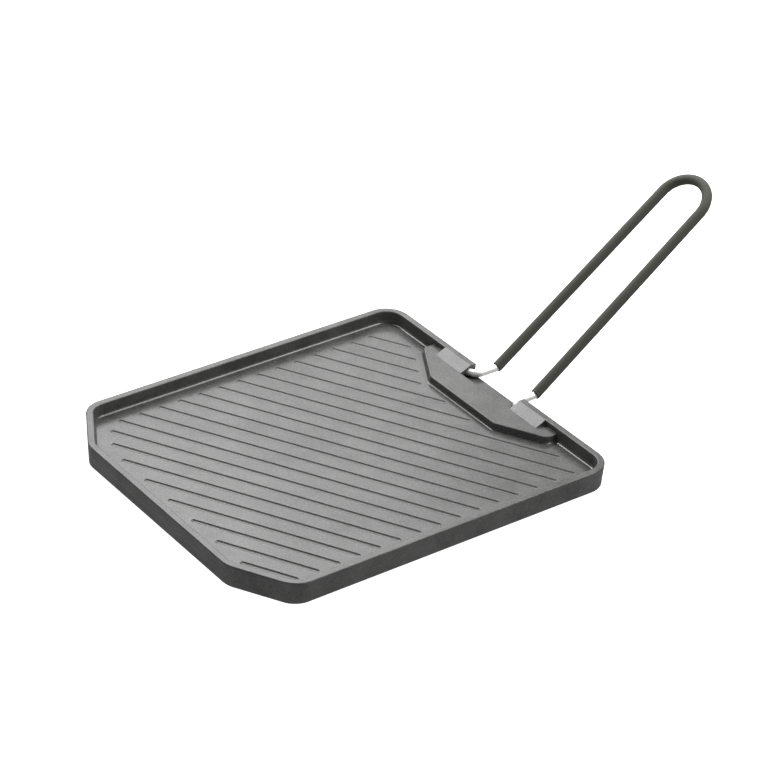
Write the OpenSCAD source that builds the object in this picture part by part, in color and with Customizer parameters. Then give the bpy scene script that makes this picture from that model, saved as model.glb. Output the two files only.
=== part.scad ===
// Camp griddle plate with a folding wire handle.
// One cast plate carries a rim, slanted drain grooves, a raised pad and two hinge lugs.
// One bent wire turns in the lugs and wears a soft grip sleeve.
// Origin at the middle of the underside, +Y towards the handle, +Z up, millimetres.

/* [Plate] */
// Width of the plate along its handle edge, at the rim
plate_w = 220; // [190:1:260]
// Length of the plate from front edge to handle edge, at the rim
plate_l = 250; // [220:1:300]
// Height of the plate from underside to rim
plate_h = 15; // [14:0.5:18]
// Radius of the outer corners, seen from above
corner_r = 16; // [12:0.5:20]
// Width that each cut corner takes from the front edge
cut_w = 38; // [28:1:50]
// Slant of the cut corners, the pad's sides and the grooves to the front edge, in degrees
slant = 30; // [25:1:35]
// How far the outer wall leans in from rim to underside
wall_draft = 0.9; // [0.5:0.1:2]
// Bevel of the edge round the underside
foot_bevel = 1; // [0.5:0.1:1.5]

/* [Rim and floor] */
// Width of the rim at its top
rim_w = 4.5; // [4:0.1:5.5]
// Radius of the rim's outer edge
rim_outer_r = 0.7; // [0.5:0.1:2]
// Radius of the rim's inner edge
rim_inner_r = 0.8; // [0.4:0.1:1.2]
// Depth of the floor below the rim
well_depth = 8; // [7:0.25:9]
// How far the inner wall leans in from rim to floor
well_draft = 0.6; // [0.2:0.1:1]
// Radius of the fillet between inner wall and floor
floor_fillet_r = 2; // [1:0.1:2.5]

/* [Grooves] */
// Width of a groove at the floor
groove_w = 3; // [2:0.1:4]
// Depth of a groove
groove_d = 0.7; // [0.4:0.1:1.4]
// Distance from one groove to the next, square to the grooves
groove_pitch = 12.3; // [9:0.1:18]
// Plain border between the outermost groove and the wall beside it
groove_border = 10; // [6:0.5:14]
// Plain border between the grooves' ends and the walls round them
groove_end_border = 9; // [6:0.5:14]
// Plain border between the grooves and the pad
pad_border = 5; // [3:0.5:12]

/* [Pad] */
// Height of the pad's top below the rim
pad_drop = 3.4; // [3:0.1:4]
// Distance of the pad's front edge from the handle edge
pad_depth = 29.6; // [26:0.2:36]
// Width of the pad's front edge
pad_front_w = 63; // [50:1:80]
// Width of the pad where it meets the rim
pad_w = 122; // [112:1:136]
// Radius of the pad's corners, seen from above
pad_corner_r = 5; // [3:0.5:7]
// How far the pad's sides lean out from top to floor
pad_draft = 0.3; // [0.1:0.1:0.6]
// Radius of the pad's top edge
pad_edge_r = 0.8; // [0.4:0.1:1.2]
// Radius of the fillet round the pad's foot
pad_fillet_r = 1.5; // [0.8:0.1:2]

/* [Hinge lugs] */
// Clear width between the lugs
lug_gap = 48; // [44:0.5:54]
// Width of a lug
lug_w = 25.5; // [20:0.5:28]
// Distance of the lug ramp's foot from the handle edge
ramp_foot = 11.7; // [11:0.1:13]
// Distance of the lug ramp's top from the handle edge
ramp_top = 4.3; // [3.8:0.1:5]
// Distance of the pivot axis from the handle edge
pivot_inset = 5.25; // [5:0.05:5.6]
// Height of the pivot axis below the rim
pivot_drop = 4.3; // [4:0.1:4.6]
// Radial clearance of the wire's feet in the lug bores
pivot_clearance = 0.06; // [0.03:0.01:0.1]
// Length of a wire foot inside its lug
foot_grip = 15; // [10:0.5:17]
// Space between a wire foot's end and the bottom of its bore
foot_end_gap = 0.5; // [0.3:0.1:1]
// Depth of the flared mouth of a bore
mouth_depth = 2; // [1.5:0.1:3]
// Widening of a bore's radius at its mouth
mouth_flare = 0.5; // [0.4:0.05:0.7]
// Space under the wire where it crosses the edge between the lugs
rest_gap = 0.3; // [0.2:0.05:0.5]
// Radius of the edge that the wire crosses
gap_edge_r = 1.5; // [0.5:0.1:2]

/* [Handle] */
// Diameter of the handle wire
wire_d = 4.7; // [3.5:0.1:4.8]
// Outer diameter of the grip sleeve
sleeve_d = 6.5; // [5.8:0.1:8]
// Radial clearance between sleeve and wire
sleeve_clearance = 0.05; // [0.02:0.01:0.1]
// Distance from the pivot axis to the knee where the wire turns up
knee_reach = 17.5; // [14:0.25:22]
// Distance from the knee to the far end of the grip, along the slope
grip_reach = 172.5; // [120:0.5:200]
// Rise of the handle in use, in degrees
handle_rise = 36.3; // [30:0.1:42]
// Spacing of the wire's legs at the knee, centre to centre
knee_gap = 37.6; // [34:0.1:38]
// Spacing of the wire's legs at the end bend, centre to centre
end_gap = 34.6; // [28:0.1:36]
// Bend radius of the wire beside the lugs
foot_bend_r = 6.2; // [5:0.1:6.5]
// Bend radius of the wire at the knee
knee_r = 6; // [5:0.5:12]

/* [Hidden] */
$fn = 96;

// Overlap that roots a raised form in the casting below it
root = 1;
// How far a straight stretch runs on into the bend or corner that it meets
lap = 0.2;
// How much fuller a bend or corner is than the straight stretch that ends inside it
swell = 0.02;
// How far a fillet's end or a slab's top sinks under the face that it meets
sink = 0.05;
// Reach of a cutter past the face that it opens
pass = 5;

// Plate heights
floor_z = plate_h - well_depth;
pad_z = plate_h - pad_drop;
pivot_z = plate_h - pivot_drop;
gap_z = pivot_z - wire_d / 2 - rest_gap;

// Places along the length of the plate
edge_y = plate_l / 2;
pad_front_y = edge_y - pad_depth;
pad_side_y = pad_front_y + (pad_w - pad_front_w) / 2 * tan(slant);
ramp_foot_y = edge_y - ramp_foot;
ramp_top_y = edge_y - ramp_top;
pivot_y = edge_y - pivot_inset;
knee_y = pivot_y + knee_reach;

// Length that each cut corner takes from the side
cut_l = cut_w * tan(slant);

// Groove field: foot of the inner wall, and how far from rim or pad a groove's centre line runs or ends
well_inset = rim_w + well_draft;
side_inset = well_inset + groove_border + groove_w / 2;
end_inset = well_inset + groove_end_border + groove_w / 2;
pad_inset = pad_border + groove_w / 2;
field_x = plate_w / 2 - end_inset;
field_y = edge_y - end_inset;
groove_r = (pow(groove_w / 2, 2) + pow(groove_d, 2)) / (2 * groove_d);

// Distances square to a groove, counted from the middle of the plate
cut_offset = sin(slant) * (cut_w - plate_w / 2) - cos(slant) * edge_y;
first_groove = cut_offset + side_inset;
last_groove = sin(slant) * field_x + cos(slant) * field_y;
groove_count = floor((last_groove - first_groove) / groove_pitch) + 1;
pad_offset = cos(slant) * pad_front_y - sin(slant) * pad_front_w / 2 - pad_inset;

// Handle: lean of a leg within the handle's plane, and the wire's turns at knee and foot
wire_r = wire_d / 2;
sleeve_r = sleeve_d / 2;
leg_rise = grip_reach - sleeve_r - end_gap / 2;
leg_lean = atan((knee_gap - end_gap) / 2 / leg_rise);
end_bend_r = end_gap / 2 / cos(leg_lean);
knee_turn = asin(cos(leg_lean) * sin(handle_rise));
run_lean = asin(sin(leg_lean) / cos(knee_turn));
knee_tangent = knee_r * tan(knee_turn / 2);
run_l = (knee_reach - foot_bend_r * (1 - sin(run_lean))) / cos(run_lean);
foot_bend_x = knee_gap / 2 + run_l * sin(run_lean) + foot_bend_r * cos(run_lean);
foot_end_x = lug_gap / 2 + foot_grip;
leg_l = leg_rise / cos(leg_lean);

// Plane geometry
function unit(v) = v / norm(v);
function next(list, i) = list[(i + 1) % len(list)];
function previous(list, i) = list[(i + len(list) - 1) % len(list)];
function heading(a, b) = atan2(b[1] - a[1], b[0] - a[0]);
function outward(a, b) = unit([b[1] - a[1], a[0] - b[0]]);
function cross_z(a, b) = a[0] * b[1] - a[1] * b[0];

// An outline drawn in by d on every side
function drawn_in(points, d) = [
    for (i = [0 : len(points) - 1])
        let (
            before = outward(previous(points, i), points[i]),
            after = outward(points[i], next(points, i))
        )
        points[i] - (before + after) * d / (1 + before * after)
];

// Distance from a corner to where an arc of radius r meets its sides, and the arc's centre
function tangent_length(a, p, b, r) =
    let (half = acos(unit(a - p) * unit(b - p)) / 2)
    r / tan(half);
function arc_centre(a, p, b, r) =
    let (half = acos(unit(a - p) * unit(b - p)) / 2)
    p + unit(unit(a - p) + unit(b - p)) * r / sin(half);

// Is corner i of an anticlockwise outline an outer one?
function is_outer(points, i) =
    cross_z(points[i] - previous(points, i), next(points, i) - points[i]) > 0;

// Corner radii of an outline that is let out by d
function let_out(points, radii, d) = [
    for (i = [0 : len(points) - 1])
        radii[i] == 0 ? 0 : radii[i] + (is_outer(points, i) ? d : -d)
];

// Flat outline whose corners are true arcs, one radius for each point
module rounded_outline(points, radii) {
    chords = [
        for (i = [0 : len(points) - 1])
            let (
                a = previous(points, i),
                p = points[i],
                b = next(points, i),
                t = tangent_length(a, p, b, radii[i])
            )
            each radii[i] == 0 ? [p] : [p + unit(a - p) * t, p + unit(b - p) * t]
    ];
    difference() {
        union() {
            polygon(chords);
            corner_discs(points, radii, true);
        }
        corner_discs(points, radii, false);
    }
}

// Discs that fill the outer corners of an outline, or hollow the inner ones
module corner_discs(points, radii, outer) {
    for (i = [0 : len(points) - 1]) {
        a = previous(points, i);
        p = points[i];
        b = next(points, i);
        if (radii[i] > 0 && is_outer(points, i) == outer)
            translate(arc_centre(a, p, b, radii[i]))
                circle(radii[i] - swell / 2);
    }
}

// First child carried along the sides of a convex outline, second child turned about its corners.
// A section's x runs outwards from the outline and its y runs up.
module carried_section(points, closed) {
    last = len(points) - 1;
    for (i = [0 : closed ? last : last - 1]) {
        a = points[i];
        b = next(points, i);
        translate(b + unit(b - a) * lap)
            rotate([0, 0, heading(a, b) - 90])
                rotate([90, 0, 0])
                    linear_extrude(norm(b - a) + 2 * lap)
                        children(0);
    }
    for (i = [closed ? 0 : 1 : closed ? last : last - 1]) {
        a = previous(points, i);
        p = points[i];
        b = next(points, i);
        turn = heading(p, b) - heading(a, p);
        translate(p)
            rotate([0, 0, heading(a, p) - 90])
                rotate_extrude(angle = turn < 0 ? turn + 360 : turn)
                    children(1);
    }
}

// Outline in the upright plane square to the handle edge, drawn out along that edge from x = from to x = to
module along_edge(from, to) {
    translate([from, 0, 0])
        rotate([90, 0, 90])
            linear_extrude(to - from)
                children();
}

// Section through the plate's edge: underside, outer wall, rim, inner wall and the fillet into the floor.
// A corner's section is let out all round, and keeps just off the underside's plane.
module wall_section(extra) {
    inner = corner_r - well_inset - 2 * floor_fillet_r;
    wall_foot = corner_r - wall_draft * (1 - foot_bevel / plate_h);
    base_z = 2 * extra;
    points = [
        [inner, base_z],
        [wall_foot - foot_bevel + base_z, base_z],
        [wall_foot, foot_bevel],
        [corner_r, plate_h],
        [corner_r - rim_w, plate_h],
        [corner_r - well_inset, floor_z - sink],
        [inner, floor_z - sink]
    ];
    radii = [0, 0, 0, rim_outer_r, rim_inner_r, floor_fillet_r, 0];
    rounded_outline(drawn_in(points, -extra), let_out(points, radii, extra));
}

// Section through the pad's edge: top edge, side and fillet, rooted in the floor
module pad_section(extra) {
    inner = pad_corner_r - 2 * pad_edge_r;
    foot = pad_corner_r + pad_draft;
    skirt = foot + 2 * pad_fillet_r;
    points = [
        [inner, floor_z - root],
        [skirt, floor_z - root],
        [skirt, floor_z - sink],
        [foot, floor_z - sink],
        [pad_corner_r, pad_z],
        [inner, pad_z]
    ];
    radii = [0, 0, 0, pad_fillet_r, pad_edge_r, 0];
    rounded_outline(drawn_in(points, -extra), let_out(points, radii, extra));
}

// Outline of the plate at the rim, drawn in by d, anticlockwise from the front edge's left end
function plate_plan(d) = drawn_in(
    [
        [cut_w - plate_w / 2, -edge_y],
        [plate_w / 2 - cut_w, -edge_y],
        [plate_w / 2, cut_l - edge_y],
        [plate_w / 2, edge_y],
        [-plate_w / 2, edge_y],
        [-plate_w / 2, cut_l - edge_y]
    ],
    d
);

// Outline of the pad at its top, drawn in by d except at the rim, from the rim round the front to the rim
function pad_plan(d) = drawn_in(
    [
        [-pad_w / 2, edge_y - rim_w + d],
        [-pad_w / 2, pad_side_y],
        [-pad_front_w / 2, pad_front_y],
        [pad_front_w / 2, pad_front_y],
        [pad_w / 2, pad_side_y],
        [pad_w / 2, edge_y - rim_w + d]
    ],
    d
);

module tray() {
    slab_inset = well_inset + floor_fillet_r / 4;
    slab_r = corner_r - slab_inset;
    carried_section(plate_plan(corner_r), true) {
        wall_section(0);
        wall_section(swell);
    }
    linear_extrude(floor_z)
        rounded_outline(plate_plan(slab_inset), [for (i = [0 : 5]) slab_r]);
}

module pad() {
    slab_inset = 1.5 * pad_edge_r;
    slab_r = pad_corner_r - slab_inset;
    carried_section(pad_plan(pad_corner_r), false) {
        pad_section(0);
        pad_section(swell);
    }
    translate([0, 0, floor_z - root])
        linear_extrude(pad_z - sink - floor_z + root)
            rounded_outline(pad_plan(slab_inset), [0, slab_r, slab_r, slab_r, slab_r, 0]);
}

// Ramped lug beside the gap, on the +X side
module lug() {
    lug_back_y = edge_y - rim_outer_r - root / 2;
    along_edge(lug_gap / 2, lug_gap / 2 + lug_w)
        polygon([
            [ramp_foot_y, pad_z - root],
            [lug_back_y, pad_z - root],
            [lug_back_y, plate_h],
            [ramp_top_y, plate_h],
            [ramp_foot_y, pad_z]
        ]);
}

// Blind bore for a wire foot, with a flared mouth, in the +X lug
module pivot_bore() {
    bore_r = wire_r + pivot_clearance;
    translate([lug_gap / 2, pivot_y, pivot_z])
        rotate([0, 90, 0]) {
            cylinder(h = foot_grip + foot_end_gap, r = bore_r);
            cylinder(h = mouth_depth, r1 = bore_r + mouth_flare, r2 = bore_r);
        }
}

// Space between the lugs, open upwards and past the handle edge, with a rounded edge under the wire
module hinge_gap() {
    wall_top_y = edge_y - wall_draft * (plate_h - gap_z) / plate_h;
    wall_foot_y = edge_y - wall_draft;
    corner = [wall_top_y, gap_z];
    inner = [ramp_foot_y, gap_z];
    foot = [wall_foot_y, 0];
    t = tangent_length(inner, corner, foot, gap_edge_r);
    flat_end = corner + unit(inner - corner) * t;
    wall_start = corner + unit(foot - corner) * t;
    along_edge(-lug_gap / 2, lug_gap / 2)
        difference() {
            polygon([
                inner,
                flat_end,
                wall_start,
                [edge_y + pass, wall_start[1]],
                [edge_y + pass, plate_h + pass],
                [ramp_foot_y, plate_h + pass]
            ]);
            translate(arc_centre(inner, corner, foot, gap_edge_r))
                circle(gap_edge_r);
        }
}

// One round-bottomed groove between two points of the floor
module groove(start, end) {
    translate([start[0], start[1], floor_z + groove_r - groove_d])
        rotate([0, 90, heading(start, end)]) {
            length = norm(end - start);
            cylinder(h = length, r = groove_r);
            sphere(r = groove_r + swell);
            translate([0, 0, length])
                sphere(r = groove_r + swell);
        }
}

// Grooves side by side across the floor, cut short at the border round walls and pad
module grooves() {
    for (i = [0 : groove_count - 1]) {
        offset_n = first_groove + i * groove_pitch;
        rise_y = offset_n / cos(slant);
        left_cut_x = (cut_offset + end_inset - offset_n) / (2 * sin(slant));
        front_x = (-field_y - rise_y) / tan(slant);
        start_x = max(-field_x, left_cut_x, front_x);
        back_x = (field_y - rise_y) / tan(slant);
        pad_front_x = (pad_front_y - pad_inset - rise_y) / tan(slant);
        pad_side_x = (pad_offset - offset_n) / (2 * sin(slant));
        pad_x = max(pad_front_x, pad_side_x, -pad_w / 2 - pad_inset);
        end_x = min(field_x, back_x, offset_n > pad_offset ? pad_x : field_x);
        if (end_x - start_x > groove_w)
            groove(
                [start_x, start_x * tan(slant) + rise_y],
                [end_x, end_x * tan(slant) + rise_y]
            );
    }
}

// Both sides of the plate or handle from its +X side
module both_sides() {
    children();
    mirror([1, 0, 0])
        children();
}

// Frame of the handle's plane: x across, y up the slope from the knee line
module handle_plane() {
    translate([0, knee_y, pivot_z])
        rotate([handle_rise, 0, 0])
            children();
}

// Legs and end bend of the handle as a round bar, between the two knee bends
module grip_bar(r) {
    leg_start = knee_tangent - lap;
    handle_plane() {
        both_sides()
            translate([knee_gap / 2, 0, 0])
                rotate([0, 0, leg_lean])
                    rotate([-90, 0, 0])
                        translate([0, 0, leg_start])
                            cylinder(h = leg_l - leg_start + lap, r = r);
        translate([0, leg_rise - end_bend_r * sin(leg_lean), 0])
            rotate([0, 0, leg_lean])
                rotate_extrude(angle = 180 - 2 * leg_lean)
                    translate([end_bend_r, 0])
                        circle(r + swell);
    }
}

// Knee bend on the +X side as a round bar, from an angle past the level run to the leg
module knee_bend(r, from) {
    translate([knee_gap / 2, knee_y, pivot_z])
        rotate([0, 0, run_lean])
            translate([0, -knee_tangent, knee_r])
                rotate([0, 90, 0])
                    rotate([0, 0, from])
                        rotate_extrude(angle = knee_turn - from)
                            translate([knee_r, 0])
                                circle(r + swell);
}

// Wire from its foot in the +X lug to the knee bend
module wire_root() {
    translate([foot_bend_x - lap, pivot_y, pivot_z])
        rotate([0, 90, 0])
            cylinder(h = foot_end_x - foot_bend_x + lap, r = wire_r);
    translate([foot_bend_x, pivot_y + foot_bend_r, pivot_z])
        rotate([0, 0, 180 + run_lean])
            rotate_extrude(angle = 90 - run_lean)
                translate([foot_bend_r, 0])
                    circle(wire_r + swell);
    translate([knee_gap / 2, knee_y, pivot_z])
        rotate([0, 0, run_lean])
            rotate([90, 0, 0])
                translate([0, 0, knee_tangent - lap])
                    cylinder(h = run_l - knee_tangent + 2 * lap, r = wire_r);
}

module griddle_plate() {
    color("#8C8C8A")
        difference() {
            union() {
                tray();
                pad();
                both_sides()
                    lug();
            }
            grooves();
            hinge_gap();
            both_sides()
                pivot_bore();
        }
}

module handle_wire() {
    color("#D8D8D6") {
        grip_bar(wire_r);
        both_sides() {
            knee_bend(wire_r, 0);
            wire_root();
        }
    }
}

// The sleeve's ends lie in the middle of the knee bends
module handle_sleeve() {
    bore_r = wire_r + sleeve_clearance;
    color("#4E4E47")
        difference() {
            union() {
                grip_bar(sleeve_r);
                both_sides()
                    knee_bend(sleeve_r, knee_turn / 2);
            }
            grip_bar(bore_r);
            both_sides()
                knee_bend(bore_r, 0);
        }
}

griddle_plate();
handle_wire();
handle_sleeve();
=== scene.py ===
"""Looks of a camp griddle plate with a folding wire handle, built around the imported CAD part.

The frame is the CAD's own: metres, origin at the middle of the plate's underside, +Y towards
the handle, +Z up. The cast plate keeps its CAD mesh and gets its finish here. The handle's wire
and sleeve are swept surfaces that stand for their CAD nodes and lie where those lie.
"""

import logging
import math
from dataclasses import dataclass, field
from enum import Enum
from typing import ClassVar

import bpy
import numpy as np
from mathutils import Matrix, Vector


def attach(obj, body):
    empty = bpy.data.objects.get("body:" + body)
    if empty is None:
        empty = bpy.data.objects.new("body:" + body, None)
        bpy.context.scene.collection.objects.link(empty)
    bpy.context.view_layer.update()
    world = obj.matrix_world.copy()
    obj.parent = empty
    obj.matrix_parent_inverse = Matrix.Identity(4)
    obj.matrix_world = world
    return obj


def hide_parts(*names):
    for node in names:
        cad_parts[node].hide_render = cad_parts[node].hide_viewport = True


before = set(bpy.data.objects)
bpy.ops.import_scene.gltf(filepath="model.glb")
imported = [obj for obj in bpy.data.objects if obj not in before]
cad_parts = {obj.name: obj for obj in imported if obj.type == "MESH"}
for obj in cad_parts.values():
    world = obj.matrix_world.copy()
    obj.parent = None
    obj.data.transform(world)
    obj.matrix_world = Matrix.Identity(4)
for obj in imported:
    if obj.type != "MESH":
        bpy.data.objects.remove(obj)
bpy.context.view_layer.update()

LOG = logging.getLogger("camp_griddle")
MM = 0.001
# swept pieces carry a map of metres along their line and metres round it
UV_LAYER = "along_and_round"


class Body(Enum):
    """Moving bodies that new pieces ride on."""

    HANDLE = "handle"


class Node(Enum):
    """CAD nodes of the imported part."""

    PLATE = "griddle_plate"
    WIRE = "handle_wire"
    SLEEVE = "handle_sleeve"


class Slot(Enum):
    """Material slots of the record for the new pieces; the pieces here don't take them."""

    WIRE = "bright_wire"
    SLEEVE = "grip_sleeve"


def linear(code: str) -> tuple[float, float, float, float]:
    """Turn an sRGB hex colour into a linear RGBA value.

    Args:
        code: six hex digits after a hash sign.

    Returns:
        Linear red, green and blue from 0 to 1, and an alpha of 1.
    """
    srgb = np.array([int(code[i : i + 2], 16) for i in (1, 3, 5)]) / 255
    rgb = np.where(srgb <= 0.04045, srgb / 12.92, ((srgb + 0.055) / 1.055) ** 2.4)
    return (*(float(c) for c in rgb), 1.0)


def per_metre(size_mm: float) -> float:
    """Return the texture scale that makes one feature of a pattern as large as size_mm."""
    return 1000 / size_mm


def add_node(
    tree: bpy.types.NodeTree,
    kind: str,
    inputs: dict[str, object] | None = None,
    **settings: object,
) -> bpy.types.Node:
    """Add one node with its settings, and fill its inputs with values or links.

    Args:
        tree: node tree that gets the node.
        kind: Blender's name of the node type.
        inputs: value or output socket for each input, by the socket's identifier.
        settings: properties of the node itself.

    Returns:
        The new node.
    """
    node = tree.nodes.new(kind)
    for name, value in settings.items():
        setattr(node, name, value)
    sockets = {socket.identifier: socket for socket in node.inputs}
    for name, value in (inputs or {}).items():
        if isinstance(value, bpy.types.NodeSocket):
            tree.links.new(value, sockets[name])
        else:
            sockets[name].default_value = value
    return node


def new_material(name: str) -> tuple[bpy.types.Material, bpy.types.NodeTree]:
    """Make an empty node material.

    Args:
        name: the material's name.

    Returns:
        The material and its node tree.
    """
    material = bpy.data.materials.new(name)
    material.use_nodes = True
    material.node_tree.nodes.clear()
    return material, material.node_tree


def streaks(
    tree: bpy.types.NodeTree, length_mm: float, width_mm: float, detail: float
) -> bpy.types.NodeSocket:
    """Lay noise over a swept piece, drawn out along its line.

    Args:
        tree: the finish's node tree.
        length_mm: length of a streak along the line.
        width_mm: its width round the line.
        detail: layers of finer noise in it.

    Returns:
        The noise, which lies round 0.5.
    """
    along = add_node(tree, "ShaderNodeUVMap", uv_map=UV_LAYER)
    stretch = add_node(
        tree,
        "ShaderNodeMapping",
        {
            "Vector": along.outputs[0],
            "Scale": (per_metre(length_mm), per_metre(width_mm), 1.0),
        },
    )
    noise = add_node(
        tree,
        "ShaderNodeTexNoise",
        {"Vector": stretch.outputs[0], "Scale": 1.0, "Detail": detail},
    )
    return noise.outputs[0]


@dataclass(frozen=True)
class SprayedCoat:
    """Cast aluminium with a sprayed and baked non-stick coat.

    To the eye it is a dark satin grey with a fine sprayed grain, sparse pale flecks and a soft
    cloudy unevenness from the casting below. The coat lies thin and dull on upright walls, and
    has pooled to a smoother line in the fillets round the floor. The grooves get a paler
    colour, painted light that lifts the shade in them. Pairs are where a change starts and
    where it is complete.

    Attributes:
        dark: darkest ground.
        light: palest ground.
        fleck: colour of the flecks.
        groove_light: paler colour in the grooves, painted light that lifts their shade.
        mottle: sums of cloud and grain that give the darkest and the palest ground.
        cloud_mm: size of the clouds.
        grain_mm: size of the grain.
        peel: strength of the grain's bump.
        peel_mm: height of the grain's bump.
        fleck_mm: distance between places where a fleck may be.
        fleck_lot: random grey of a place above which it gets a fleck.
        fleck_most: strength of the strongest fleck.
        fleck_edge: a fleck's rim, in cells from its middle.
        floor_mm: height of the floor.
        groove_mm: depths below the floor at which the painted light in the grooves starts and
            is full.
        groove_facing: how far up a surface faces where it counts as open to the top.
        roughness: of level faces.
        wall_roughness: of upright walls.
        wall_facing: how far up a surface faces where it stops being a wall and is level.
        pool_sheen: what the pooled coat takes off the roughness.
        pool_mm: height of the pooled line.
        pool_half_mm: half of its width.
        pool_core: share of the line that is pooled in full.
        edge_mm: radius of the softened edges.
        edge_samples: rays that soften them.
    """

    dark: str = "#3D3D3C"
    light: str = "#5D5D5C"
    fleck: str = "#868684"
    # painted light: a paler colour that lifts the shade in the grooves
    groove_light: str = "#575756"
    mottle: tuple[float, float] = (0.7, 1.3)
    cloud_mm: float = 16.0
    # the real grain is a few tenths of a millimetre, and is drawn coarser so that it shows
    grain_mm: float = 1.2
    peel: float = 0.5
    peel_mm: float = 0.05
    fleck_mm: float = 2.4
    fleck_lot: float = 0.55
    fleck_most: float = 0.8
    fleck_edge: tuple[float, float] = (0.08, 0.24)
    floor_mm: float = 7.0
    groove_mm: tuple[float, float] = (0.05, 0.25)
    groove_facing: tuple[float, float] = (0.3, 0.5)
    roughness: float = 0.32
    wall_roughness: float = 0.45
    wall_facing: tuple[float, float] = (0.45, 0.85)
    pool_sheen: float = 0.16
    pool_mm: float = 7.45
    pool_half_mm: float = 0.5
    pool_core: float = 0.8
    edge_mm: float = 0.3
    edge_samples: int = 6

    def colour(
        self,
        tree: bpy.types.NodeTree,
        place: bpy.types.NodeSocket,
        height: bpy.types.NodeSocket,
        upward: bpy.types.NodeSocket,
        grain: bpy.types.NodeSocket,
    ) -> bpy.types.NodeSocket:
        """Lay clouds, grain, painted light in the grooves and flecks over each other.

        Args:
            tree: the coat's node tree.
            place: position on the piece.
            height: height on the piece in metres.
            upward: how far the surface faces up, from -1 to 1.
            grain: the sprayed grain.

        Returns:
            The coat's colour.
        """
        cloud = add_node(
            tree,
            "ShaderNodeTexNoise",
            {"Vector": place, "Scale": per_metre(self.cloud_mm), "Detail": 3.0},
        )
        mottle = add_node(
            tree,
            "ShaderNodeMath",
            {"Value": cloud.outputs[0], "Value_001": grain},
            operation="ADD",
        )
        share = add_node(
            tree,
            "ShaderNodeMapRange",
            {
                "Value": mottle.outputs[0],
                "From Min": self.mottle[0],
                "From Max": self.mottle[1],
            },
        )
        ground = add_node(
            tree,
            "ShaderNodeMix",
            {
                "Factor_Float": share.outputs[0],
                "A_Color": linear(self.dark),
                "B_Color": linear(self.light),
            },
            data_type="RGBA",
        )
        # below the floor's level only the grooves face up
        open_top = add_node(
            tree,
            "ShaderNodeMapRange",
            {
                "Value": upward,
                "From Min": self.groove_facing[0],
                "From Max": self.groove_facing[1],
            },
        )
        depth = add_node(
            tree,
            "ShaderNodeMapRange",
            {
                "Value": height,
                "From Min": (self.floor_mm - self.groove_mm[0]) * MM,
                "From Max": (self.floor_mm - self.groove_mm[1]) * MM,
                "To Max": open_top.outputs[0],
            },
        )
        # the grooves take a paler colour, painted light that lifts their shade
        groove_lit_ground = add_node(
            tree,
            "ShaderNodeMix",
            {
                "Factor_Float": depth.outputs[0],
                "A_Color": ground.outputs[2],
                "B_Color": linear(self.groove_light),
            },
            data_type="RGBA",
        )
        cells = add_node(
            tree, "ShaderNodeTexVoronoi", {"Vector": place, "Scale": per_metre(self.fleck_mm)}
        )
        # a cell's random grey sets how strong its fleck is, and most cells have none
        lot = add_node(
            tree,
            "ShaderNodeMapRange",
            {
                "Value": cells.outputs["Color"],
                "From Min": self.fleck_lot,
                "To Max": self.fleck_most,
            },
        )
        spot = add_node(
            tree,
            "ShaderNodeMapRange",
            {
                "Value": cells.outputs["Distance"],
                "From Min": self.fleck_edge[0],
                "From Max": self.fleck_edge[1],
                "To Min": lot.outputs[0],
                "To Max": 0.0,
            },
        )
        flecked = add_node(
            tree,
            "ShaderNodeMix",
            {
                "Factor_Float": spot.outputs[0],
                "A_Color": groove_lit_ground.outputs[2],
                "B_Color": linear(self.fleck),
            },
            data_type="RGBA",
        )
        return flecked.outputs[2]

    def sheen(
        self,
        tree: bpy.types.NodeTree,
        height: bpy.types.NodeSocket,
        upward: bpy.types.NodeSocket,
    ) -> bpy.types.NodeSocket:
        """Make walls duller than level faces, and the pooled fillets smoother.

        Args:
            tree: the coat's node tree.
            height: height on the piece in metres.
            upward: how far the surface faces up, from -1 to 1.

        Returns:
            The roughness.
        """
        lie = add_node(
            tree,
            "ShaderNodeMapRange",
            {
                "Value": upward,
                "From Min": self.wall_facing[0],
                "From Max": self.wall_facing[1],
                "To Min": self.wall_roughness,
                "To Max": self.roughness,
            },
        )
        above = add_node(
            tree,
            "ShaderNodeMath",
            {"Value": height, "Value_001": self.pool_mm * MM},
            operation="SUBTRACT",
        )
        away = add_node(
            tree, "ShaderNodeMath", {"Value": above.outputs[0]}, operation="ABSOLUTE"
        )
        # the level floor lies at the lower rim of the pooled line, and gets half of its sheen
        pooled = add_node(
            tree,
            "ShaderNodeMapRange",
            {
                "Value": away.outputs[0],
                "From Min": self.pool_core * self.pool_half_mm * MM,
                "From Max": self.pool_half_mm * MM,
                "To Min": self.pool_sheen,
                "To Max": 0.0,
            },
        )
        rough = add_node(
            tree,
            "ShaderNodeMath",
            {"Value": lie.outputs[0], "Value_001": pooled.outputs[0]},
            operation="SUBTRACT",
        )
        return rough.outputs[0]

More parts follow.
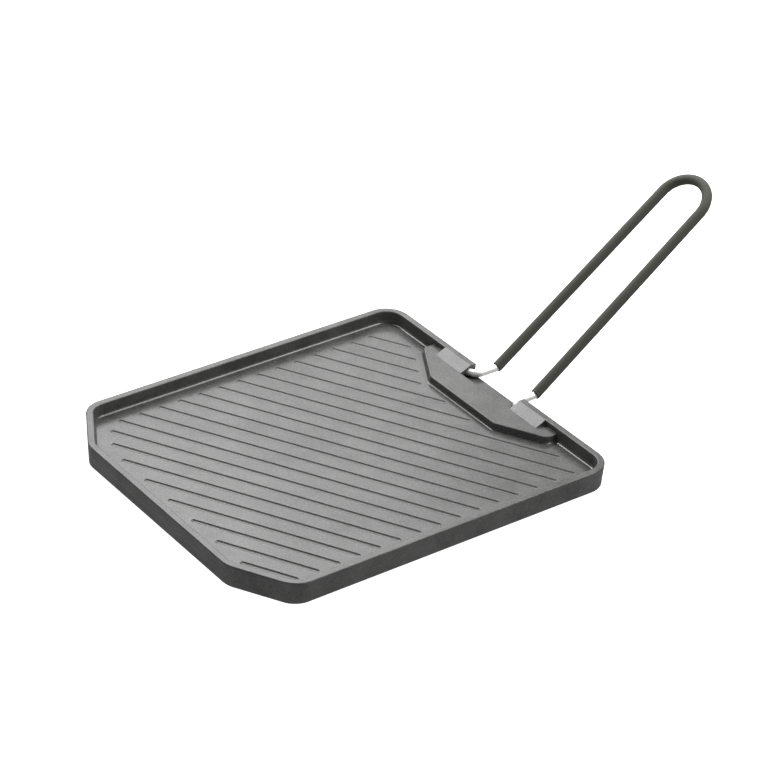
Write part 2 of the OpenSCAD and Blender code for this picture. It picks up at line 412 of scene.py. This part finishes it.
    def material(self) -> bpy.types.Material:
        """Build the coat: colour and sheen, with the grain as a fine bump.

        Returns:
            The finished material.
        """
        material, tree = new_material("cast_aluminium_sprayed_coat")
        where = add_node(tree, "ShaderNodeTexCoord")
        place = where.outputs["Object"]
        height = add_node(tree, "ShaderNodeSeparateXYZ", {"Vector": place}).outputs["Z"]
        facing = add_node(tree, "ShaderNodeSeparateXYZ", {"Vector": where.outputs["Normal"]})
        upward = facing.outputs["Z"]
        grain = add_node(
            tree,
            "ShaderNodeTexNoise",
            {"Vector": place, "Scale": per_metre(self.grain_mm), "Detail": 2.0},
        )
        soft = add_node(
            tree, "ShaderNodeBevel", {"Radius": self.edge_mm * MM}, samples=self.edge_samples
        )
        peel = add_node(
            tree,
            "ShaderNodeBump",
            {
                "Strength": self.peel,
                "Distance": self.peel_mm * MM,
                "Height": grain.outputs[0],
                "Normal": soft.outputs[0],
            },
        )
        shader = add_node(
            tree,
            "ShaderNodeBsdfPrincipled",
            {
                "Base Color": self.colour(tree, place, height, upward, grain.outputs[0]),
                "Roughness": self.sheen(tree, height, upward),
                "Normal": peel.outputs[0],
            },
        )
        add_node(tree, "ShaderNodeOutputMaterial", {"Surface": shader.outputs[0]})
        return material


@dataclass(frozen=True)
class DrawnWire:
    """Stainless steel wire, drawn bright: a pale metal with faint lines along its length.

    Attributes:
        colour: colour of the metal.
        roughness: its mean roughness.
        line_change: what a line adds to the roughness or takes off it, at most.
        line_range: noise that gives the smoothest and the roughest line.
        line_mm: width of the lines.
        line_length_mm: their length.
    """

    colour: str = "#FAFAF8"
    roughness: float = 0.6
    line_change: float = 0.06
    line_range: tuple[float, float] = (0.3, 0.7)
    # real drawing lines are finer, and are drawn as coarse as they need to show
    line_mm: float = 0.5
    line_length_mm: float = 25.0

    def material(self) -> bpy.types.Material:
        """Build the metal, with the lines in its roughness.

        Returns:
            The finished material.
        """
        material, tree = new_material("stainless_steel_drawn_wire")
        sheen = add_node(
            tree,
            "ShaderNodeMapRange",
            {
                "Value": streaks(tree, self.line_length_mm, self.line_mm, detail=2.0),
                "From Min": self.line_range[0],
                "From Max": self.line_range[1],
                "To Min": self.roughness - self.line_change,
                "To Max": self.roughness + self.line_change,
            },
        )
        shader = add_node(
            tree,
            "ShaderNodeBsdfPrincipled",
            {
                "Base Color": linear(self.colour),
                "Metallic": 1.0,
                "Roughness": sheen.outputs[0],
            },
        )
        add_node(tree, "ShaderNodeOutputMaterial", {"Surface": shader.outputs[0]})
        return material


@dataclass(frozen=True)
class ExtrudedSilicone:
    """Extruded silicone tube: a matte olive grey with a faint powdery bloom along its length.

    Attributes:
        dark: colour without bloom.
        light: colour under the bloom.
        roughness: of the whole skin.
        ior: index of refraction of silicone rubber.
        bloom_mm: width of the bloom's streaks.
        bloom_length_mm: their length.
        grain_mm: size of the matte grain.
        grain_strength: strength of its bump.
        grain_height_mm: height of its bump.
    """

    dark: str = "#4A4B43"
    light: str = "#52534D"
    roughness: float = 0.72
    ior: float = 1.41
    bloom_mm: float = 3.0
    bloom_length_mm: float = 18.0
    # the real grain is finer, and is drawn as coarse as it needs to show
    grain_mm: float = 0.5
    grain_strength: float = 0.15
    grain_height_mm: float = 0.03

    def material(self) -> bpy.types.Material:
        """Build the silicone: bloom in the colour, a fine matte grain in the bump.

        Returns:
            The finished material.
        """
        material, tree = new_material("silicone_extruded_matte")
        bloom = streaks(tree, self.bloom_length_mm, self.bloom_mm, detail=3.0)
        colour = add_node(
            tree,
            "ShaderNodeMix",
            {
                "Factor_Float": bloom,
                "A_Color": linear(self.dark),
                "B_Color": linear(self.light),
            },
            data_type="RGBA",
        )
        place = add_node(tree, "ShaderNodeTexCoord").outputs["Object"]
        grain = add_node(
            tree,
            "ShaderNodeTexNoise",
            {"Vector": place, "Scale": per_metre(self.grain_mm), "Detail": 1.0},
        )
        matte = add_node(
            tree,
            "ShaderNodeBump",
            {
                "Strength": self.grain_strength,
                "Distance": self.grain_height_mm * MM,
                "Height": grain.outputs[0],
            },
        )
        shader = add_node(
            tree,
            "ShaderNodeBsdfPrincipled",
            {
                "Base Color": colour.outputs[2],
                "Roughness": self.roughness,
                "IOR": self.ior,
                "Normal": matte.outputs[0],
            },
        )
        add_node(tree, "ShaderNodeOutputMaterial", {"Surface": shader.outputs[0]})
        return material


@dataclass(frozen=True)
class PaintedBoard:
    """Painted studio board: matt white, lit until it is nearly blank.

    Attributes:
        colour: colour of the paint.
        roughness: of the paint.
        glow: light that the board gives off by itself.
        glow_colour: colour of that light.
    """

    colour: str = "#F4F4F2"
    roughness: float = 0.9
    glow: float = 0.75
    glow_colour: str = "#FFFFFF"

    def material(self) -> bpy.types.Material:
        """Build the board's paint.

        Returns:
            The finished material.
        """
        material, tree = new_material("painted_board_matt_white")
        shader = add_node(
            tree,
            "ShaderNodeBsdfPrincipled",
            {
                "Base Color": linear(self.colour),
                "Roughness": self.roughness,
                "Emission Color": linear(self.glow_colour),
                "Emission Strength": self.glow,
            },
        )
        add_node(tree, "ShaderNodeOutputMaterial", {"Surface": shader.outputs[0]})
        return material


def grid_quads(rows: int, columns: int, wrap_rows: bool, wrap_columns: bool) -> np.ndarray:
    """Give the quads of a grid of points that are numbered row by row.

    Quad (i, j) takes points (i, j), (i, j + 1), (i + 1, j + 1) and (i + 1, j).

    Args:
        rows: number of rows of points.
        columns: number of points in a row.
        wrap_rows: join the last row to the first.
        wrap_columns: join each row's end to its start.

    Returns:
        Four point numbers for each quad.
    """
    i = np.arange(rows if wrap_rows else rows - 1)[:, None]
    j = np.arange(columns if wrap_columns else columns - 1)[None, :]
    here, below = i * columns, (i + 1) % rows * columns
    right = (j + 1) % columns
    quads = np.stack(
        np.broadcast_arrays(here + j, here + right, below + right, below + j), -1
    )
    return quads.reshape(-1, 4)


def mesh_object(
    name: str, points: np.ndarray, faces: list[list[int]], material: bpy.types.Material
) -> bpy.types.Object:
    """Make a smooth mesh object at the origin.

    Args:
        name: name of the object and its mesh.
        points: x, y and z in metres for each vertex.
        faces: point numbers of each face.
        material: the finish.

    Returns:
        The linked object.
    """
    mesh = bpy.data.meshes.new(name)
    mesh.from_pydata(points.reshape(-1, 3), [], faces)
    mesh.polygons.foreach_set("use_smooth", np.ones(len(mesh.polygons), bool))
    mesh.materials.append(material)
    mesh.update()
    piece = bpy.data.objects.new(name, mesh)
    bpy.context.scene.collection.objects.link(piece)
    return piece


def unit(vectors: np.ndarray) -> np.ndarray:
    """Scale each vector to a length of 1."""
    return vectors / np.linalg.norm(vectors, axis=-1, keepdims=True)


@dataclass(frozen=True)
class BentLine:
    """A line of straights and true arcs through space, sampled densely.

    Attributes:
        NOTHING: a straight no longer than this is left out.
        points: places along the line, one row each.
        headings: unit directions of travel at those places.
        arcs: first and last sample of each arc.
    """

    NOTHING: ClassVar[float] = 1e-7

    points: np.ndarray
    headings: np.ndarray
    arcs: list[tuple[int, int]]

    @classmethod
    def through(
        cls, corners: np.ndarray, radii: list[float], straight_step: float, arc_steps: int
    ) -> "BentLine":
        """Round the corners of an open line of points.

        At each inner corner an arc of the given radius touches both sides. It starts
        r / tan(half the corner's angle) before the corner, and its points are
        centre + r (cos t e1 + sin t e2), with e1 from the centre to the start and e2 the
        direction of travel there.

        Args:
            corners: the line's points.
            radii: the arc's radius at each inner point.
            straight_step: longest distance between samples on a straight.
            arc_steps: number of steps on each arc.

        Returns:
            The sampled line.
        """
        places, headings = [corners[:1]], [unit(corners[1:2] - corners[:1])]
        arcs, last = [], 0
        for k, radius in enumerate(radii, 1):
            corner, start = corners[k], places[-1][-1]
            back, ahead = unit(corners[k - 1] - corner), unit(corners[k + 1] - corner)
            half = math.acos(float(back @ ahead)) / 2
            touch = corner + back * radius / math.tan(half)
            centre = corner + unit(back + ahead) * radius / math.sin(half)
            run = float(np.linalg.norm(touch - start))
            steps = math.ceil(run / straight_step) if run > cls.NOTHING else 0
            t = np.arange(1, steps + 1)[:, None] / max(steps, 1)
            places.append(start + (touch - start) * t)
            headings.append(np.broadcast_to(-back, (steps, 3)))
            angle = np.linspace(0, math.pi - 2 * half, arc_steps + 1)[1:, None]
            first, second = (touch - centre) / radius, -back
            places.append(centre + radius * (np.cos(angle) * first + np.sin(angle) * second))
            headings.append(np.cos(angle) * second - np.sin(angle) * first)
            arcs.append((last + steps, last + steps + arc_steps))
            last += steps + arc_steps
        start = places[-1][-1]
        steps = math.ceil(float(np.linalg.norm(corners[-1] - start)) / straight_step)
        t = np.arange(1, steps + 1)[:, None] / steps
        places.append(start + (corners[-1] - start) * t)
        headings.append(np.broadcast_to(unit(corners[-1] - start), (steps, 3)))
        return cls(np.concatenate(places), np.concatenate(headings), arcs)

    def part(self, first: int, last: int) -> "BentLine":
        """Return the stretch from one sample to another, without its list of arcs."""
        kept = slice(first, last + 1)
        return BentLine(self.points[kept], self.headings[kept], [])

    def distance(self) -> np.ndarray:
        """Return how far along the line each sample is."""
        steps = np.linalg.norm(np.diff(self.points, axis=0), axis=1)
        return np.concatenate(([0.0], np.cumsum(steps)))

    def at(self, distance: np.ndarray) -> tuple[np.ndarray, np.ndarray]:
        """Read places and headings at distances along the line, between its samples.

        Args:
            distance: how far along each wanted place is.

        Returns:
            Places and unit headings, one row each.
        """
        along = self.distance()
        rows = np.hstack((self.points, self.headings)).T
        read = np.stack([np.interp(distance, along, row) for row in rows], -1)
        return read[:, :3], unit(read[:, 3:])


def round_ended(
    along: np.ndarray, radius: float, bow: float, steps: int
) -> tuple[np.ndarray, np.ndarray]:
    """Place the rings of a round bar whose two ends are rounded.

    For angles a from 0 to a quarter turn a ring lies bow (1 - cos a) from the end, and its
    radius is smaller by bow (1 - sin a). The line's samples that are further than one and a
    half bows from both ends get rings of the full radius.

    Args:
        along: how far along each sample of the bar's line is.
        radius: the bar's radius.
        bow: radius of the rounding.
        steps: rings in each rounding.

    Returns:
        How far along each ring is, and its radius.
    """
    angle = np.linspace(0, math.pi / 2, steps)
    lip, drop = bow * (1 - np.cos(angle)), bow * (1 - np.sin(angle))
    length, clear = along[-1], 1.5 * bow
    inner = along[(along > clear) & (along < length - clear)]
    distance = np.concatenate((lip, inner, length - lip[::-1]))
    radii = np.full_like(distance, radius)
    radii[:steps] -= drop
    radii[-steps:] -= drop[::-1]
    return distance, radii


def swept_rings(
    line: BentLine, distance: np.ndarray, radius: np.ndarray, across: np.ndarray, sides: int
) -> np.ndarray:
    """Carry a circle along a line.

    The point at distance s and angle a is P(s) + r(s) (cos a N(s) + sin a B(s)), where T is the
    line's heading, B the unit vector of across x T, and N = B x T. The seam, a = 0, is on the
    side that faces away from across.

    Args:
        line: the centre line.
        distance: where each ring is along it.
        radius: each ring's radius.
        across: a direction that the line never runs in.
        sides: points in a ring.

    Returns:
        Points of all rings, rings by sides by 3.
    """
    place, heading = line.at(distance)
    side = unit(np.cross(across, heading))
    top = np.cross(side, heading)
    angle = np.linspace(0, 2 * math.pi, sides, endpoint=False)[None, :, None]
    spoke = np.cos(angle) * top[:, None] + np.sin(angle) * side[:, None]
    return place[:, None] + radius[:, None, None] * spoke


def lay_uv(
    piece: bpy.types.Object, distance: np.ndarray, girth: float, sides: int, quads: int
) -> None:
    """Give a swept piece a map of metres along its line and metres round it.

    Args:
        piece: the piece, whose first faces are its grid's quads.
        distance: how far along each ring is, with one more entry where the rings join up.
        girth: length of the way round.
        sides: points in a ring.
        quads: number of grid quads; faces after them keep zeros.
    """
    row, column = np.divmod(np.arange(quads), sides)
    along = distance[np.stack((row, row, row + 1, row + 1), -1)]
    around = np.stack((column, column + 1, column + 1, column), -1) * girth / sides
    uv = np.zeros((len(piece.data.loops), 2), np.float32)
    uv[: quads * 4] = np.stack((along, around), -1).reshape(-1, 2)
    layer = piece.data.uv_layers.new(name=UV_LAYER)
    layer.data.foreach_set("uv", uv.ravel())


@dataclass
class Plate:
    """The casting: it keeps its CAD mesh and wears the coat."""

    finish: SprayedCoat = field(default_factory=SprayedCoat)

    def build(self) -> list[bpy.types.Object]:
        """Put the coat on the CAD node.

        Returns:
            The casting.
        """
        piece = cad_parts[Node.PLATE.value]
        piece.data.materials.clear()
        piece.data.materials.append(self.finish.material())
        return [piece]


@dataclass
class Handle:
    """The folding handle: one bent wire and the sleeve over its grip.

    Lengths are millimetres, and those of the line are measured on the wire's middle.

    Attributes:
        pivot_y: place of the hinge line along the plate.
        pivot_z: its height.
        knee_reach: from the hinge line to the corner of the knee bend.
        grip_reach: from there along the grip to its far end, over the sleeve.
        rise: the grip's slope, in radians.
        knee_gap: distance between the legs at the knees.
        end_gap: distance between the legs where the end bend starts.
        foot_end_x: where a foot ends, from the middle.
        foot_bend_r: radius of the bend from a foot to its level run.
        knee_r: radius of the knee bend.
        wire_r: radius of the wire.
        sleeve_r: outer radius of the sleeve.
        sleeve_bore_r: inner radius of the sleeve.
        wire_end_round: rounding of the wire's ends.
        wire_end_steps: rings in that rounding.
        sleeve_end_round: rounding of the sleeve's ends.
        sleeve_end_steps: rings in that rounding.
        sides: points in a ring.
        straight_step: longest distance between rings on a straight.
        arc_steps: steps on each bend.
        wire_finish: finish of the wire.
        sleeve_finish: finish of the sleeve.
    """

    pivot_y: float = 119.75
    pivot_z: float = 10.7
    knee_reach: float = 17.5
    grip_reach: float = 172.5
    rise: float = math.radians(36.3)
    knee_gap: float = 37.6
    end_gap: float = 34.6
    foot_end_x: float = 39.0
    foot_bend_r: float = 6.2
    knee_r: float = 6.0
    wire_r: float = 2.35
    sleeve_r: float = 3.25
    sleeve_bore_r: float = 2.4
    wire_end_round: float = 0.5
    wire_end_steps: int = 5
    sleeve_end_round: float = 0.45
    sleeve_end_steps: int = 7
    sides: int = 40
    straight_step: float = 12.0
    arc_steps: int = 28
    wire_finish: DrawnWire = field(default_factory=DrawnWire)
    sleeve_finish: ExtrudedSilicone = field(default_factory=ExtrudedSilicone)

    def centre_line(self) -> BentLine:
        """Lay the wire's centre line from one foot round the grip to the other foot.

        Each leg leans in by the angle that takes it from the knee gap to the end gap. The two
        end corners share one arc centre, so that their turns make one round end.

        Returns:
            The line in metres.
        """
        leg = self.grip_reach - self.sleeve_r - self.end_gap / 2
        lean = math.atan((self.knee_gap - self.end_gap) / 2 / leg)
        end_r = self.end_gap / 2 / math.cos(lean)
        knee_turn = math.asin(math.cos(lean) * math.sin(self.rise))
        run_lean = math.asin(math.sin(lean) / math.cos(knee_turn))
        foot_x = self.knee_gap / 2 + self.knee_reach * math.tan(run_lean)
        knee_y = self.pivot_y + self.knee_reach
        end_x = end_r * math.tan((math.pi / 2 - lean) / 2)
        end_s = leg - end_r * math.sin(lean) + end_r
        half = np.array(
            [
                [self.foot_end_x, self.pivot_y, self.pivot_z],
                [foot_x, self.pivot_y, self.pivot_z],
                [self.knee_gap / 2, knee_y, self.pivot_z],
                [
                    end_x,
                    knee_y + end_s * math.cos(self.rise),
                    self.pivot_z + end_s * math.sin(self.rise),
                ],
            ]
        )
        corners = np.concatenate((half, half[::-1] * (-1, 1, 1)))
        radii = [self.foot_bend_r, self.knee_r, end_r]
        return BentLine.through(
            corners * MM,
            [r * MM for r in radii + radii[::-1]],
            self.straight_step * MM,
            self.arc_steps,
        )

    def across(self) -> np.ndarray:
        """Return a direction square to the middle of the knee's turn; no stretch runs in it."""
        return np.array([0.0, -math.sin(self.rise / 2), math.cos(self.rise / 2)])

    def wire(self, line: BentLine) -> bpy.types.Object:
        """Sweep the wire along the whole line, with rounded and capped ends.

        Args:
            line: the wire's centre line.

        Returns:
            The wire.
        """
        distance, radius = round_ended(
            line.distance(), self.wire_r * MM, self.wire_end_round * MM, self.wire_end_steps
        )
        rings = swept_rings(line, distance, radius, self.across(), self.sides)
        quads = grid_quads(len(distance), self.sides, False, True)
        ring = np.arange(self.sides)
        caps = [ring[::-1].tolist(), (ring + (len(distance) - 1) * self.sides).tolist()]
        piece = mesh_object(
            "wire_drawn", rings, quads.tolist() + caps, self.wire_finish.material()
        )
        lay_uv(piece, distance, 2 * math.pi * self.wire_r * MM, self.sides, len(quads))
        return piece

    def sleeve(self, line: BentLine) -> bpy.types.Object:
        """Sweep the sleeve as a tube wall: out along its skin, back in its bore.

        It reaches from the middle of one knee bend to the middle of the other.

        Args:
            line: the wire's centre line.

        Returns:
            The sleeve.
        """
        knees = line.arcs[1], line.arcs[-2]
        grip = line.part(*(sum(arc) // 2 for arc in knees))
        along, steps = grip.distance(), self.sleeve_end_steps
        skin, skin_r = round_ended(
            along, self.sleeve_r * MM, self.sleeve_end_round * MM, steps
        )
        bore = np.concatenate((along[-1:], skin[steps:-steps][::-1], [0.0]))
        distance = np.concatenate((skin, bore))
        radius = np.concatenate((skin_r, np.full_like(bore, self.sleeve_bore_r * MM)))
        rings = swept_rings(grip, distance, radius, self.across(), self.sides)
        quads = grid_quads(len(distance), self.sides, True, True)
        piece = mesh_object(
            "sleeve_silicone", rings, quads.tolist(), self.sleeve_finish.material()
        )
        girth = 2 * math.pi * self.sleeve_r * MM
        lay_uv(piece, np.append(distance, 0.0), girth, self.sides, len(quads))
        return piece

    def build(self) -> list[bpy.types.Object]:
        """Sweep wire and sleeve, and set them on the handle's body for their CAD nodes.

        Returns:
            The wire and the sleeve.
        """
        line = self.centre_line()
        pieces = [self.wire(line), self.sleeve(line)]
        for piece, node, slot in zip(
            pieces, (Node.WIRE, Node.SLEEVE), (Slot.WIRE, Slot.SLEEVE)
        ):
            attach(piece, Body.HANDLE.value)
            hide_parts(node.value)
        return pieces


@dataclass(frozen=True)
class SoftBox:
    """A square soft box on a dome round the plate, turned to its middle.

    Attributes:
        azimuth: direction from the plate, in degrees from +X towards +Y.
        elevation: angle above the floor, in degrees.
        power: watts.
        away: distance in metres.
        size: length of a side in metres.
    """

    azimuth: float
    elevation: float
    power: float
    away: float = 0.7
    size: float = 0.35

    def hang(self, name: str) -> bpy.types.Object:
        """Make the lamp, out of the camera's sight.

        Args:
            name: the lamp's name.

        Returns:
            The linked lamp.
        """
        azimuth, elevation = math.radians(self.azimuth), math.radians(self.elevation)
        out = Vector(
            (
                math.cos(azimuth) * math.cos(elevation),
                math.sin(azimuth) * math.cos(elevation),
                math.sin(elevation),
            )
        )
        data = bpy.data.lights.new(name, "AREA")
        data.shape = "SQUARE"
        data.size = self.size
        data.energy = self.power
        lamp = bpy.data.objects.new(name, data)
        turn = (-out).to_track_quat("-Z", "Y").to_matrix().to_4x4()
        lamp.matrix_world = Matrix.Translation(out * self.away) @ turn
        lamp.visible_camera = False
        bpy.context.scene.collection.objects.link(lamp)
        return lamp


@dataclass
class Studio:
    """Camera, lights and the pale floor. Lengths are metres and angles radians.

    Attributes:
        azimuth: turn of the camera's level axis from +X.
        elevation: how far the camera looks down.
        roll: turn of the camera about its own line of sight.
        place: where it stands.
        focal_px: its focal length in pixels of the picture.
        frame_px: the picture's width in pixels.
        sensor_mm: the sensor's width in millimetres.
        sight: how far the camera sees.
        floor_rings: radii of the rings on the level floor.
        floor_reach: radius at which the floor starts to curve up.
        wall_height: radius of that curve, and the wall's height.
        floor_drop: how far the floor lies below the plate.
        sweep_sides: points in each ring of the floor.
        sweep_steps: rings on the curve.
        bounce: glow of the board that lights the part from below.
        boxes: the soft boxes by name.
    """

    azimuth: float = math.radians(51.834)
    elevation: float = math.radians(31.708)
    roll: float = math.radians(3.326)
    place: tuple[float, float, float] = (1.24449, -0.94296, 1.02014)
    focal_px: float = 3153.81
    frame_px: float = 768.0
    sensor_mm: float = 36.0
    sight: float = 60.0
    floor_rings: tuple[float, ...] = (0.001, 0.5, 2.0)
    floor_reach: float = 4.0
    wall_height: float = 3.0
    floor_drop: float = 0.0002
    sweep_sides: int = 64
    sweep_steps: int = 17
    bounce: float = 0.45
    # azimuth, elevation and power, then distance and size where these aren't the usual ones
    boxes: dict[str, SoftBox] = field(
        default_factory=lambda: {
            "left": SoftBox(180, 45, 11.32, 1.6, 0.9),
            "left_near": SoftBox(165, 45, 0.49),
            "left_back": SoftBox(150, 55, 1.16),
            "left_back_far": SoftBox(150, 45, 2.14, 1.1, 0.7),
            "left_back_low": SoftBox(150, 25, 0.71),
            "back": SoftBox(120, 35, 2.03, 1.6, 0.9),
            "right_back": SoftBox(75, 58, 6.1, 1.6, 0.8),
            "right": SoftBox(60, 50, 13.1, 1.6, 0.8),
            # this one lets floor and grooves show from behind
            "front_low": SoftBox(-45, 15, 1.0, 1.6, 0.6),
        }
    )

    def camera(self) -> bpy.types.Object:
        """Set the camera at the photograph's viewing angle.

        Its side axis is level and its look leans down by the elevation. Side and top are then
        turned about the look by the roll.

        Returns:
            The camera, set as the scene's own.
        """
        data = bpy.data.cameras.new("camera")
        data.sensor_width = self.sensor_mm
        data.lens = self.focal_px * self.sensor_mm / self.frame_px
        data.clip_end = self.sight
        right = Vector((math.cos(self.azimuth), math.sin(self.azimuth), 0))
        look = Vector(
            (
                -math.sin(self.azimuth) * math.cos(self.elevation),
                math.cos(self.azimuth) * math.cos(self.elevation),
                -math.sin(self.elevation),
            )
        )
        up = right.cross(look)
        side = right * math.cos(self.roll) + up * math.sin(self.roll)
        top = up * math.cos(self.roll) - right * math.sin(self.roll)
        turn = Matrix((side, top, -look)).transposed().to_4x4()
        camera = bpy.data.objects.new("camera", data)
        camera.matrix_world = Matrix.Translation(self.place) @ turn
        bpy.context.scene.collection.objects.link(camera)
        bpy.context.scene.camera = camera
        return camera

    def sweep(self, name: str, board: PaintedBoard) -> bpy.types.Object:
        """Make a round floor that curves up into a wall far from the plate.

        The profile runs flat from the middle to the floor's reach and on round a quarter circle
        of the wall's height, and is turned about the upright axis.

        Args:
            name: name of the piece.
            board: its paint.

        Returns:
            The floor, which casts no shadow.
        """
        angle = np.linspace(0, math.pi / 2, self.sweep_steps)
        reach = np.concatenate(
            (self.floor_rings, self.floor_reach + self.wall_height * np.sin(angle))
        )
        level = np.zeros(len(self.floor_rings))
        height = np.concatenate((level, self.wall_height * (1 - np.cos(angle))))
        turn = np.linspace(0, 2 * math.pi, self.sweep_sides, endpoint=False)[None, :]
        points = np.stack(
            np.broadcast_arrays(
                reach[:, None] * np.cos(turn),
                reach[:, None] * np.sin(turn),
                height[:, None] - self.floor_drop,
            ),
            -1,
        )
        quads = grid_quads(len(reach), self.sweep_sides, False, True)[:, ::-1].tolist()
        middle = [list(range(self.sweep_sides))]
        piece = mesh_object(name, points, quads + middle, board.material())
        piece.visible_shadow = False
        return piece

    def build(self) -> None:
        """Set up camera, floor and lights.

        The board that the camera sees is nearly blank, and gives the part no light. What the
        part receives from below is set by a second board, which the camera doesn't see.
        """
        self.camera()
        seen = self.sweep("floor_seen", PaintedBoard())
        seen.visible_diffuse = seen.visible_glossy = False
        bounced = self.sweep("floor_bounce", PaintedBoard(glow=self.bounce, colour="#000000"))
        bounced.visible_camera = False
        for name, box in self.boxes.items():
            box.hang(name)
        world = bpy.data.worlds.new("dark_room")
        world.use_nodes = True
        world.node_tree.nodes["Background"].inputs["Strength"].default_value = 0
        bpy.context.scene.world = world
        bpy.context.scene.view_settings.view_transform = "Standard"


def main() -> None:
    """Build the studio, the plate and the handle, and report each piece."""
    logging.basicConfig(level=logging.INFO, format="%(name)s: %(message)s")
    Studio().build()
    for assembly in (Plate(), Handle()):
        for piece in assembly.build():
            LOG.info("%s: %d faces", piece.name, len(piece.data.polygons))


if __name__ == "__main__":
    main()
